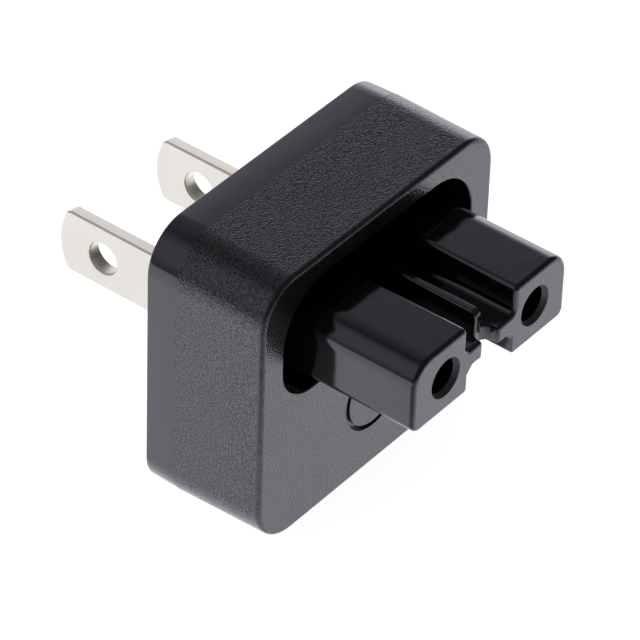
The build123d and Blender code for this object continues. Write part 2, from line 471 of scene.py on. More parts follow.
def rounded(corners: Sequence[tuple[float, float, float]], steps: int = 10) -> list[Point]:
    """Round the corners of a closed outline.

    Args:
        corners: each corner's two coordinates and its radius, anticlockwise.
        steps: straight steps in each rounded corner.

    Returns:
        The outline's points. A corner of no radius gives one point.
    """
    points: list[Point] = []
    for i, (u, v, radius) in enumerate(corners):
        here = Vector((u, v))
        before = (Vector(corners[i - 1][:2]) - here).normalized()
        after = (Vector(corners[(i + 1) % len(corners)][:2]) - here).normalized()
        if radius <= 0:
            points.append((u, v))
            continue
        half = before.angle(after) / 2
        centre = here + (before + after).normalized() * radius / math.sin(half)
        first = here + before * radius / math.tan(half) - centre
        turn = first.angle_signed(here + after * radius / math.tan(half) - centre)
        for k in range(steps + 1):
            spot = centre + Matrix.Rotation(-turn * k / steps, 2) @ first
            points.append((spot.x, spot.y))
    return points


def inset(points: Sequence[Point], amount: float | Sequence[float]) -> list[Point]:
    """Draw a closed anticlockwise outline in, or out where the amount is negative.

    Args:
        points: the outline.
        amount: how far, for the whole outline or for each of its points.

    Returns:
        The moved points.
    """
    amounts = [amount] * len(points) if isinstance(amount, (int, float)) else amount
    moved: list[Point] = []
    for i, point in enumerate(points):
        here = Vector(point)
        before = (here - Vector(points[i - 1])).normalized()
        after = (Vector(points[(i + 1) % len(points)]) - here).normalized()
        inward = Vector((-before.y, before.x)) + Vector((-after.y, after.x))
        share = 1 + before.dot(after)
        spot = here + inward * (amounts[i] / max(share, LEAST_SHARE))
        moved.append((spot.x, spot.y))
    return moved


def rectangle(
    half_width: float, low: float, high: float, low_radius: float, high_radius: float
) -> list[Point]:
    """Outline of an upright rectangle about the middle, with its own lower and upper corner radii."""
    return rounded((
        (-half_width, low, low_radius), (half_width, low, low_radius),
        (half_width, high, high_radius), (-half_width, high, high_radius),
    ))


def circle(u: float, v: float, radius: float, steps: int = 64) -> list[Point]:
    """Outline of a circle."""
    angles = [2 * math.pi * k / steps for k in range(steps)]
    return [(u + radius * math.cos(a), v + radius * math.sin(a)) for a in angles]


def round_over(radius: float, start_deg: float = 0.0, steps: int = 5) -> list[Point]:
    """Quarter round of an edge, as pairs of how far the side and the end are still cut back."""
    angles = [math.radians(start_deg + (90 - start_deg) * k / steps) for k in range(steps + 1)]
    return [(radius * (1 - math.sin(a)), radius * (1 - math.cos(a))) for a in angles]


def rim(
    points: Sequence[Point],
    level: float,
    inward: int,
    radius: float,
    start_deg: float = 0.0,
    flare: bool = False,
) -> list[Section]:
    """Sections that round an outline's edge at one end of a solid or a tool.

    Args:
        points: the outline away from the edge.
        level: level of the end.
        inward: 1 where the solid lies at higher levels than its end, or else -1.
        radius: radius of the rounding.
        start_deg: angle at which the rounding starts.
        flare: whether the outline grows towards the end, as a tool's does.

    Returns:
        The sections, from the end inwards.
    """
    way = -1 if flare else 1
    return [(level + inward * end, inset(points, way * side)) for side, end in round_over(radius, start_deg)]


def rounded_end(
    points: Sequence[Point], end: float, radii: Sequence[float], steps: int = 6
) -> list[Section]:
    """Sections that round an outline over to its flat end, each point by its own radius.

    Args:
        points: the outline where the rounding starts.
        end: level of the flat end, which lies towards lower levels.
        radii: the rounding at each point.
        steps: straight steps in the rounding.

    Returns:
        The sections, from the side to the end.
    """
    sections: list[Section] = []
    for k in range(steps + 1):
        turn = math.pi / 2 * k / steps
        levels = [end + radius * (1 - math.sin(turn)) for radius in radii]
        sections.append((levels, inset(points, [radius * (1 - math.cos(turn)) for radius in radii])))
    return sections


def in_order(sections: Iterable[Section]) -> list[Section]:
    """Sort sections by their level along the run."""
    return sorted(sections, key=lambda section: section[0])


def new_object(name: str, data: bpy.types.ID) -> Solid:
    """Put a mesh or a camera into the scene as an object at the origin.

    Args:
        name: name of the object.
        data: what it shows.

    Returns:
        The new object.
    """
    made = bpy.data.objects.new(name, data)
    bpy.context.scene.collection.objects.link(made)
    return made


def mesh_object(name: str, builder: bmesh.types.BMesh) -> Solid:
    """Close a mesh under construction and put it into the scene, its faces turned outwards.

    Args:
        name: name of the object.
        builder: the mesh under construction, which is used up.

    Returns:
        The new object.
    """
    bmesh.ops.remove_doubles(builder, verts=builder.verts, dist=SAME * MM)
    bmesh.ops.triangulate(builder, faces=[face for face in builder.faces if len(face.verts) > 4])
    bmesh.ops.recalc_face_normals(builder, faces=builder.faces)
    mesh = bpy.data.meshes.new(name)
    builder.to_mesh(mesh)
    builder.free()
    return new_object(name, mesh)


def loft(name: str, run: Run, sections: Iterable[Section]) -> Solid:
    """Make a closed solid through outlines that have the same number of points.

    Args:
        name: name of the new object.
        run: axis along which the outlines follow each other.
        sections: each outline's level along the run, or the level of each point, and its points.

    Returns:
        The solid, with a flat face at each end.
    """
    builder = bmesh.new()
    rings = []
    for level, points in sections:
        levels = [level] * len(points) if isinstance(level, (int, float)) else level
        rings.append([builder.verts.new(run.place(*point, at)) for point, at in zip(points, levels)])
    for low, high in zip(rings, rings[1:]):
        for i in range(len(low)):
            builder.faces.new((low[i - 1], low[i], high[i], high[i - 1]))
    builder.faces.new(rings[0])
    builder.faces.new(rings[-1])
    return mesh_object(name, builder)


def settle(target: Solid) -> None:
    """Turn an object's modifiers into plain mesh.

    Args:
        target: the object.
    """
    graph = bpy.context.evaluated_depsgraph_get()
    mesh = bpy.data.meshes.new_from_object(
        target.evaluated_get(graph), preserve_all_data_layers=True, depsgraph=graph
    )
    target.modifiers.clear()
    target.data = mesh


def carve(target: Solid, cut: Cut, *tools: Solid) -> None:
    """Cut tools out of a solid, or join them to it.

    Args:
        target: the solid.
        cut: what the tools do to it.
        tools: the tools, which are used up.
    """
    for tool in tools:
        step = target.modifiers.new("carve", "BOOLEAN")
        step.operation = cut.value
        step.solver = "MANIFOLD"
        step.object = tool
        settle(target)
        bpy.data.objects.remove(tool)


def smooth(target: Solid, sharp_deg: float = 34.0) -> None:
    """Shade a solid smoothly over its rounded edges, with its flat faces kept flat.

    Args:
        target: the solid.
        sharp_deg: angle between two faces above which their edge stays sharp.
    """
    target.data.shade_smooth()
    target.data.set_sharp_from_angle(angle=math.radians(sharp_deg))
    weigh = target.modifiers.new("weigh", "WEIGHTED_NORMAL")
    weigh.mode = "FACE_AREA"
    weigh.keep_sharp = True
    settle(target)
    mesh = target.data
    normals = [corner.vector.copy() for corner in mesh.corner_normals]
    for face in mesh.polygons:
        if max(abs(part) for part in face.normal) > LEVEL:
            for i in face.loop_indices:
                normals[i] = face.normal.copy()
    mesh.normals_split_custom_set(normals)


def dress(target: Solid, slot: str, node: str, *materials: Material) -> None:
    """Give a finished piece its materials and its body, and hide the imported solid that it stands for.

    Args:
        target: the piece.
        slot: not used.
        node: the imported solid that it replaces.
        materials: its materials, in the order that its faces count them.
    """
    target.data.materials.clear()
    for material in materials:
        target.data.materials.append(material)
    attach(target, BODY)
    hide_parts(node)


def run_tree(name: str, tree: Tree, sizes: dict[str, float]) -> Solid:
    """Run a Geometry Nodes tree with the given sizes and keep its result as a plain mesh.

    Args:
        name: name of the new object.
        tree: the tree.
        sizes: values of the tree's named inputs, in millimetres.

    Returns:
        An object that holds the result.
    """
    made = new_object(name, bpy.data.meshes.new(name))
    step = made.modifiers.new("shape", "NODES")
    step.node_group = tree
    for item in tree.interface.items_tree:
        if item.item_type == "SOCKET" and item.in_out == "INPUT" and item.name in sizes:
            step[item.identifier] = sizes[item.name] * MM
    settle(made)
    return made


def new_tree(name: str, inputs: Sequence[str]) -> tuple[Tree, bpy.types.Node]:
    """Start a Geometry Nodes tree.

    Args:
        name: name of the tree.
        inputs: names of its inputs, each of which is a length.

    Returns:
        The tree and the node that gives its inputs.
    """
    tree = bpy.data.node_groups.new(name, "GeometryNodeTree")
    tree.interface.new_socket("Geometry", in_out="OUTPUT", socket_type="NodeSocketGeometry")
    for title in inputs:
        tree.interface.new_socket(title, in_out="INPUT", socket_type="NodeSocketFloat")
    return tree, add_node(tree, "NodeGroupInput")


def end_tree(tree: Tree, geometry: Socket, y: Socket, z: Socket, material: Material) -> None:
    """End a Geometry Nodes tree whose shape lies flat: stand it up, place it and give it a material.

    Args:
        tree: the tree.
        geometry: socket of the shape, drawn in X and Y.
        y: socket of the place along Y that its plane goes to.
        z: socket of the height that its middle goes to.
        material: its material.
    """
    spot = add_node(tree, "ShaderNodeCombineXYZ", links={"Y": y, "Z": z})
    placed = add_node(
        tree, "GeometryNodeTransform",
        values={"Rotation": (math.pi / 2, 0.0, 0.0)},
        links={"Geometry": geometry, "Translation": spot.outputs["Vector"]},
    )
    real = add_node(
        tree, "GeometryNodeRealizeInstances", links={"Geometry": placed.outputs["Geometry"]}
    )
    dressed = add_node(
        tree, "GeometryNodeSetMaterial",
        values={"Material": material}, links={"Geometry": real.outputs["Geometry"]},
    )
    add_node(tree, "NodeGroupOutput", links={0: dressed.outputs["Geometry"]})


def slab_tree(material: Material, corner_steps: int = 12) -> Tree:
    """Tree of a slab with rounded corners: an outline in X and Z, filled and drawn out along Y.

    Args:
        material: the slab's material.
        corner_steps: points in each rounded corner.

    Returns:
        The tree.
    """
    tree, sizes = new_tree(
        "rounded_slab", ("Width", "Height", "Depth", "Upper Radius", "Lower Radius", "Middle Z", "Rear Y")
    )
    outline = add_node(
        tree, "GeometryNodeCurvePrimitiveQuadrilateral",
        links={"Width": sizes.outputs["Width"], "Height": sizes.outputs["Height"]},
    )
    place = add_node(tree, "GeometryNodeInputPosition").outputs["Position"]
    height = add_node(tree, "ShaderNodeSeparateXYZ", links={"Vector": place}).outputs["Y"]
    upper = add_node(tree, "ShaderNodeMath", {"operation": "GREATER_THAN"}, {1: 0.0}, {0: height})
    radius = add_node(
        tree, "ShaderNodeMix", {"data_type": "FLOAT"},
        links={
            "Factor": upper.outputs["Value"],
            "A": sizes.outputs["Lower Radius"], "B": sizes.outputs["Upper Radius"],
        },
    )
    corners = add_node(
        tree, "GeometryNodeFilletCurve",
        {"mode": "POLY"}, {"Count": corner_steps, "Limit Radius": True},
        {"Curve": outline.outputs["Curve"], "Radius": radius.outputs["Result"]},
    )
    face = add_node(
        tree, "GeometryNodeFillCurve", {"mode": "NGONS"}, links={"Curve": corners.outputs["Curve"]}
    )
    wall = add_node(
        tree, "GeometryNodeExtrudeMesh",
        values={"Individual": False},
        links={"Mesh": face.outputs["Mesh"], "Offset Scale": sizes.outputs["Depth"]},
    )
    back = add_node(tree, "GeometryNodeFlipFaces", links={"Mesh": face.outputs["Mesh"]})
    both = add_node(tree, "GeometryNodeJoinGeometry", links={"Geometry": wall.outputs["Mesh"]})
    tree.links.new(back.outputs["Mesh"], both.inputs["Geometry"])
    closed = add_node(
        tree, "GeometryNodeMergeByDistance",
        values={"Distance": SAME * MM}, links={"Geometry": both.outputs["Geometry"]},
    )
    end_tree(
        tree, closed.outputs["Geometry"], sizes.outputs["Rear Y"], sizes.outputs["Middle Z"], material
    )
    return tree


def ring_tree(material: Material, steps: int = 72) -> Tree:
    """Tree of a ring: a small rectangle that follows a circle in X and Z, half of it behind the front.

    Args:
        material: the ring's material.
        steps: straight steps round the circle.

    Returns:
        The tree.
    """
    tree, sizes = new_tree("ring_groove", ("Radius", "Width", "Depth", "Middle Z", "Front Y"))
    path = add_node(
        tree, "GeometryNodeCurvePrimitiveCircle",
        {"mode": "RADIUS"}, {"Resolution": steps}, {"Radius": sizes.outputs["Radius"]},
    )
    twice = combine(tree, Sum.ADD, sizes.outputs["Depth"], sizes.outputs["Depth"])
    section = add_node(
        tree, "GeometryNodeCurvePrimitiveQuadrilateral",
        links={"Width": sizes.outputs["Width"], "Height": twice},
    )
    swept = add_node(
        tree, "GeometryNodeCurveToMesh",
        links={"Curve": path.outputs["Curve"], "Profile Curve": section.outputs["Curve"]},
    )
    end_tree(
        tree, swept.outputs["Mesh"], sizes.outputs["Front Y"], sizes.outputs["Middle Z"], material
    )
    return tree


@dataclass
class Body:
    """Sizes that the housing and the cover share, in millimetres.

    Attributes:
        width: along X.
        height: along Z.
        depth: along Y, from the front face to the plug face.
        band: depth of the cover's smooth band.
        corner: radius of the corners where the housing meets the cover.
        lower_corner: radius of the lower ones of those corners, on the outside.
        front_corner: radius of the front face's upper corners.
        front_lower_corner: radius of its lower corners.
        wall: thickness of the shell's wall.
        cover_plate: thickness of the cover's plate.
    """

    width: float = 30.75
    height: float = 27.5
    depth: float = 12.15
    band: float = 3.05
    corner: float = 4.2
    lower_corner: float = 3.86
    front_corner: float = 4.0
    front_lower_corner: float = 4.3
    wall: float = 1.8
    cover_plate: float = 1.6

    @property
    def front(self) -> float:
        """Y of the front face."""
        return -self.depth / 2

    @property
    def rear(self) -> float:
        """Y of the plug face."""
        return self.depth / 2

    @property
    def joint(self) -> float:
        """Y where the housing meets the cover."""
        return self.rear - self.band

    def outline(
        self, upper: float, lower: float, cut_back: float = 0.0, side: float = 0.0, top: float = 0.0
    ) -> list[Point]:
        """Section of the body.

        Args:
            upper: radius of its upper corners.
            lower: radius of its lower corners.
            cut_back: how far it is drawn in evenly.
            side: how far its sides are drawn in for the draft.
            top: how far its top is drawn in for the draft.

        Returns:
            The outline's points.
        """
        return rectangle(
            self.width / 2 - side - cut_back, cut_back, self.height - top - cut_back,
            lower - cut_back, upper - cut_back,
        )

    def hollow(self) -> list[Point]:
        """Section of the hollow inside the body's wall."""
        return self.outline(self.corner, self.corner, self.wall)


@dataclass
class Nose:
    """Coupler nose: two barrels, the web between them, its rib and the notch in its end."""

    body: Body
    # The whole nose and its outer corners.
    length: float = 11.5
    width: float = 20.6
    top: float = 22.94
    bottom: float = 16.1
    top_radius: float = 2.3
    bottom_radius: float = 0.85
    corner_steps: int = 12
    # Rounding of the end's edges, on the outside and above the web, and below it.
    upper_edge: float = 0.44
    lower_edge: float = 0.15
    # The gaps between the barrels above and below the web, and the web's fillets.
    upper_gap: float = 6.5
    lower_gap: float = 6.1
    inner_radius: float = 0.5
    lower_radius: float = 0.32
    web_top: float = 20.2
    web_bottom: float = 18.5
    web_top_fillet: float = 0.6
    web_bottom_fillet: float = 0.9
    # The rib on the web. It hangs over the notch a little.
    rib_width: float = 0.95
    rib_height: float = 1.72
    rib_round: float = 0.28
    rib_corner: float = 0.2
    rib_end_round: float = 0.6
    rib_overhang: float = 0.1
    # The half-round notch in the web's end, its straight entry and its soft lips.
    notch: float = 1.05
    notch_straight: float = 0.4
    notch_lip: float = 0.12
    notch_top_lip: float = 0.4
    notch_flare: float = 0.3
    notch_steps: int = 28
    lip_start_deg: float = 10.0
    # The socket mouths, which narrow inwards, and the wider bores behind them.
    mouth_pitch: float = 12.05
    mouth_z: float = 19.42
    mouth_radius: float = 1.86
    mouth_length: float = 0.5
    mouth_rim: float = 0.06
    mouth_start_deg: float = 15.0
    mouth_draft: float = 0.25
    bore_radius: float = 2.25

    @property
    def end(self) -> float:
        """Y of the nose's end face."""
        return self.body.front - self.length

    @property
    def notch_back(self) -> float:
        """Y of the deepest place in the notch."""
        return self.end + self.notch_straight + self.notch

    def blank(self, back: float) -> Solid:
        """Build the two barrels and the web, with the edges of their end rounded.

        Args:
            back: Y from which the nose starts, inside the housing.

        Returns:
            The closed solid. Its upper edges are rounded more than those below the web.
        """
        half, upper, lower = self.width / 2, self.upper_gap / 2, self.lower_gap / 2
        soft, crisp = self.upper_edge, self.lower_edge
        # Each corner, its radius, and the rounding of the end along the side that follows it.
        corners = [
            (-half, self.bottom, self.bottom_radius, crisp),
            (-lower, self.bottom, self.lower_radius, crisp),
            (-lower, self.web_bottom, self.web_bottom_fillet, crisp),
            (lower, self.web_bottom, self.web_bottom_fillet, crisp),
            (lower, self.bottom, self.lower_radius, crisp),
            (half, self.bottom, self.bottom_radius, soft),
            (half, self.top, self.top_radius, soft),
            (upper, self.top, self.inner_radius, soft),
            (upper, self.web_top, self.web_top_fillet, soft),
            (-upper, self.web_top, self.web_top_fillet, soft),
            (-upper, self.top, self.inner_radius, soft),
            (-half, self.top, self.top_radius, soft),
        ]
        steps = self.corner_steps
        points = rounded([corner[:3] for corner in corners], steps)
        radii = []
        for i, corner in enumerate(corners):
            before = corners[i - 1][3]
            radii += [before + (corner[3] - before) * k / steps for k in range(steps + 1)]
        return loft("nose", Run.Y, [(back, points), *rounded_end(points, self.end, radii)])

    def notch_tool(self) -> Solid:
        """Build the tool that cuts the notch, with the soft lips that the mould leaves.

        Returns:
            The tool.
        """
        centre = self.end + self.notch_straight
        turns = [math.pi * k / self.notch_steps for k in range(self.notch_steps + 1)]
        arc = [(self.notch * math.cos(a), centre + self.notch * math.sin(a)) for a in turns]
        flare = [
            (self.notch + side, self.end + end)
            for side, end in round_over(self.notch_flare, self.lip_start_deg)
        ]
        ahead = [(flare[0][0], self.end - PAST), *flare]
        points = [*arc, *((-x, y) for x, y in reversed(ahead)), *ahead]
        low = rim(points, self.web_bottom, 1, self.notch_lip, self.lip_start_deg, flare=True)
        high = rim(points, self.web_top, -1, self.notch_top_lip, self.lip_start_deg, flare=True)
        ends = [(self.web_bottom - PAST, low[0][1]), (self.web_top + PAST, high[0][1])]
        return loft("notch", Run.Z, in_order([*ends, *low, *high]))

    def rib(self, back: float) -> Solid:
        """Build the rib on the web, whose rounded end runs down the wall of the notch.

        Args:
            back: Y from which the rib starts, inside the housing.

        Returns:
            The closed solid.
        """
        front, top = self.notch_back - self.rib_overhang, self.web_top + self.rib_height
        foot = self.web_bottom + 2 * self.notch_lip
        points = rounded([
            (front, foot, self.rib_corner), (back, foot, self.rib_corner),
            (back, top, self.rib_corner), (front, top, self.rib_end_round),
        ])
        half = self.rib_width / 2
        left, right = (rim(points, side.value * half, -side.value, self.rib_round) for side in Side)
        return loft("rib", Run.X, in_order([*left, *right]))

    def mouths(self, back: float) -> list[Solid]:
        """Build the tools that bore the two socket mouths and the wider bores behind them.

        Args:
            back: Y where the bores end, inside the housing.

        Returns:
            The two tools.
        """
        tools = []
        for side in Side:
            centre = (side.value * self.mouth_pitch / 2, self.mouth_z)
            lips = [
                (self.end + end, circle(*centre, self.mouth_radius + wider))
                for wider, end in round_over(self.mouth_rim, self.mouth_start_deg)
            ]
            step = self.end + self.mouth_length
            throat = circle(*centre, self.mouth_radius - self.mouth_draft)
            bore = circle(*centre, self.bore_radius)
            tools.append(loft("mouth", Run.Y, [
                (self.end - PAST, lips[0][1]), *lips, (step, throat), (step, bore), (back, bore)
            ]))
        return tools


@dataclass
class Housing:
    """Front housing: the grained shell with its pocket, ring groove and coupler nose."""

    body: Body
    nose: Nose
    # The shell's draft towards the front, and the rounding of its front edge.
    side_draft: float = 0.06
    top_draft: float = 0.25
    edge: float = 0.45
    bottom_edge: float = 0.18
    # The pocket round the nose, and how deep the nose and its rib are rooted in its floor.
    pocket_gap: float = 2.25
    pocket_depth: float = 5.0
    pocket_floor: float = 1.4
    pocket_rim: float = 0.16
    pocket_rim_start_deg: float = 15.0
    pocket_fillet: float = 0.4
    pocket_top_radius: float = 5.3
    pocket_bottom_radius: float = 3.9
    nose_root: float = 0.6
    rib_root: float = 0.3
    # The ring groove below the nose.
    ring_radius: float = 3.6
    ring_width: float = 0.48
    ring_depth: float = 0.45
    ring_z: float = 7.95
    # How faces are told apart: slack in their place, and their normal's part along Y.
    place_slack: float = 0.01
    flat_slack: float = 0.03
    flat_facing: float = 0.97
    edge_facing: Point = (0.06, 0.985)

    @property
    def floor(self) -> float:
        """Y of the pocket's floor."""
        return self.body.front + self.pocket_depth

    def block(self) -> Solid:
        """Build the outside of the shell, drawn in towards its rounded front edge.

        Returns:
            The closed solid.
        """
        body = self.body
        points = body.outline(
            body.front_corner, body.front_lower_corner, 0.0, self.side_draft, self.top_draft
        )
        rise = [min(1.0, max(0.0, z / body.front_corner)) for _, z in points]
        radii = [self.bottom_edge + (self.edge - self.bottom_edge) * share for share in rise]
        return loft("housing_shell", Run.Y, [
            (body.joint, body.outline(body.corner, body.lower_corner)),
            *rounded_end(points, body.front, radii),
        ])

    def pocket_outline(self) -> list[Point]:
        """Outline of the pocket, an even gap outside the nose."""
        nose, gap = self.nose, self.pocket_gap
        return rectangle(
            nose.width / 2 + gap, nose.bottom - gap, nose.top + gap,
            self.pocket_bottom_radius, self.pocket_top_radius,
        )

    def pocket(self) -> Solid:
        """Build the tool that sinks the pocket, with its rounded rim and floor.

        Returns:
            The tool.
        """
        points, front = self.pocket_outline(), self.body.front
        lips = rim(points, front, 1, self.pocket_rim, self.pocket_rim_start_deg, flare=True)
        base = rim(points, self.floor, -1, self.pocket_fillet)
        return loft("pocket", Run.Y, in_order([(front - PAST, lips[0][1]), *lips, *base]))

    def hollows(self) -> list[Solid]:
        """Build the tools that hollow the shell behind the pocket and below it.

        Returns:
            The two tools.
        """
        body = self.body
        behind = self.floor + self.pocket_floor
        ceiling = self.nose.bottom - self.pocket_gap - self.pocket_floor
        corner = body.corner - body.wall
        lower = rectangle(body.width / 2 - body.wall, body.wall, ceiling, corner, corner)
        return [
            loft("cavity", Run.Y, [(body.joint + PAST, body.hollow()), (behind, body.hollow())]),
            loft("lower_cavity", Run.Y, [(behind + OVERLAP, lower), (body.front + body.wall, lower)]),
        ]

    def zone(self, centre: Vector, normal: Vector) -> Zone:
        """Tell which finish a face has.

        Args:
            centre: the face's middle, in millimetres.
            normal: its normal.

        Returns:
            The zone that it lies in.
        """
        front, nose, slack = self.body.front, self.nose, self.place_slack
        if centre.y < front - slack:
            if normal.y < -self.flat_facing and centre.y < nose.end + self.flat_slack:
                return Zone.END
            reach = math.hypot(abs(centre.x) - nose.mouth_pitch / 2, centre.z - nose.mouth_z)
            shallow = centre.y < nose.end + nose.mouth_length - slack
            return Zone.MOUTH if shallow and reach < nose.mouth_radius + nose.mouth_rim else Zone.POLISH
        margin = self.pocket_gap + slack
        level = nose.bottom - margin < centre.z < nose.top + margin
        if level and abs(centre.x) < nose.width / 2 + margin and centre.y > front + self.flat_slack:
            return Zone.POLISH
        least, most = self.edge_facing
        if centre.y < front + self.edge and least < -normal.y < most:
            return Zone.EDGE
        return Zone.GRAIN

    def build(self, ring: Tree) -> Solid:
        """Build and dress the housing.

        Args:
            ring: the tree of the ring groove's tool.

        Returns:
            The finished piece.
        """
        shell = self.block()
        groove = run_tree("groove", ring, {
            "Radius": self.ring_radius, "Width": self.ring_width, "Depth": self.ring_depth,
            "Middle Z": self.ring_z, "Front Y": self.body.front,
        })
        carve(shell, Cut.REMOVE, self.pocket(), groove, *self.hollows())
        nose = self.nose.blank(self.floor + self.nose_root)
        carve(nose, Cut.REMOVE, self.nose.notch_tool())
        carve(nose, Cut.JOIN, self.nose.rib(self.floor + self.rib_root))
        carve(shell, Cut.JOIN, nose)
        carve(shell, Cut.REMOVE, *self.nose.mouths(self.floor + self.pocket_floor + OVERLAP))
        smooth(shell)
        # The mouths' lead-ins take a paler colour, which is painted light.
        finishes = (GRAINED_PLASTIC, EDGE_PLASTIC, POLISHED_PLASTIC, END_PLASTIC, MOUTH_PAINTED_LIGHT_PLASTIC)
        dress(shell, "housing", "front_housing", *(finish.material() for finish in finishes))
        for face in shell.data.polygons:
            face.material_index = self.zone(face.center / MM, face.normal).value
        return shell


@dataclass
class Cover:
    """Rear cover: the smooth tray that closes the back and carries the blades.

    Attributes:
        body: the body that it closes.
        edge: rounding of the plug face's edge.
        edge_steps: straight steps in that rounding.
        crown: how far the band is drawn in at the plug face.
        crown_steps: straight steps along the band.
        slot_clearance: gap round a blade in its slot.
        level_slack: how near a point lies to a level to count as on it.
    """

    body: Body
    edge: float = 0.1
    edge_steps: int = 4
    crown: float = 0.08
    crown_steps: int = 8
    slot_clearance: float = 0.05
    level_slack: float = 1e-3

    def soften(self, builder: bmesh.types.BMesh, level: float) -> None:
        """Round the slab's edges that lie at one level along Y.

        Args:
            builder: the slab under construction.
            level: the level.
        """
        edges = [
            edge for edge in builder.edges
            if all(abs(vert.co.y / MM - level) < self.level_slack for vert in edge.verts)
        ]
        bmesh.ops.bevel(
            builder, geom=edges, offset=self.edge * MM, offset_type="OFFSET", segments=self.edge_steps,
            profile=0.5, affect="EDGES", clamp_overlap=True,
        )

    def bow(self, builder: bmesh.types.BMesh) -> None:
        """Bow the band's sides and top in towards the plug face. The underside stays flat.

        Args:
            builder: the slab under construction.
        """
        body = self.body
        for k in range(1, self.crown_steps):
            level = body.joint + body.band * k / self.crown_steps
            geometry = [*builder.verts, *builder.edges, *builder.faces]
            bmesh.ops.bisect_plane(
                builder, geom=geometry, plane_co=(0.0, level * MM, 0.0), plane_no=(0.0, 1.0, 0.0)
            )
        for vert in builder.verts:
            share = max(0.0, (vert.co.y / MM - body.joint) / body.band)
            drop = self.crown * share ** 2
            vert.co.x *= 1 - 2 * drop / body.width
            vert.co.z *= 1 - drop / body.height

    def build(self, slab: Tree, blades: Sequence["Blade"]) -> Solid:
        """Build and dress the cover.

        Args:
            slab: the tree of a rounded slab.
            blades: the blades that it has slots for.

        Returns:
            The finished piece.
        """
        body = self.body
        cover = run_tree("rear_band", slab, {
            "Width": body.width, "Height": body.height, "Depth": body.band,
            "Upper Radius": body.corner, "Lower Radius": body.lower_corner,
            "Middle Z": body.height / 2, "Rear Y": body.rear,
        })
        builder = bmesh.new()
        builder.from_mesh(cover.data)
        self.soften(builder, body.rear)
        self.bow(builder)
        builder.to_mesh(cover.data)
        builder.free()
        tray = loft("tray", Run.Y, [
            (body.joint - PAST, body.hollow()), (body.rear - body.cover_plate, body.hollow())
        ])
        carve(cover, Cut.REMOVE, tray, *(blade.slot(self.slot_clearance) for blade in blades))
        smooth(cover)
        dress(cover, "cover", "rear_cover", BAND_PLASTIC.material())
        return cover


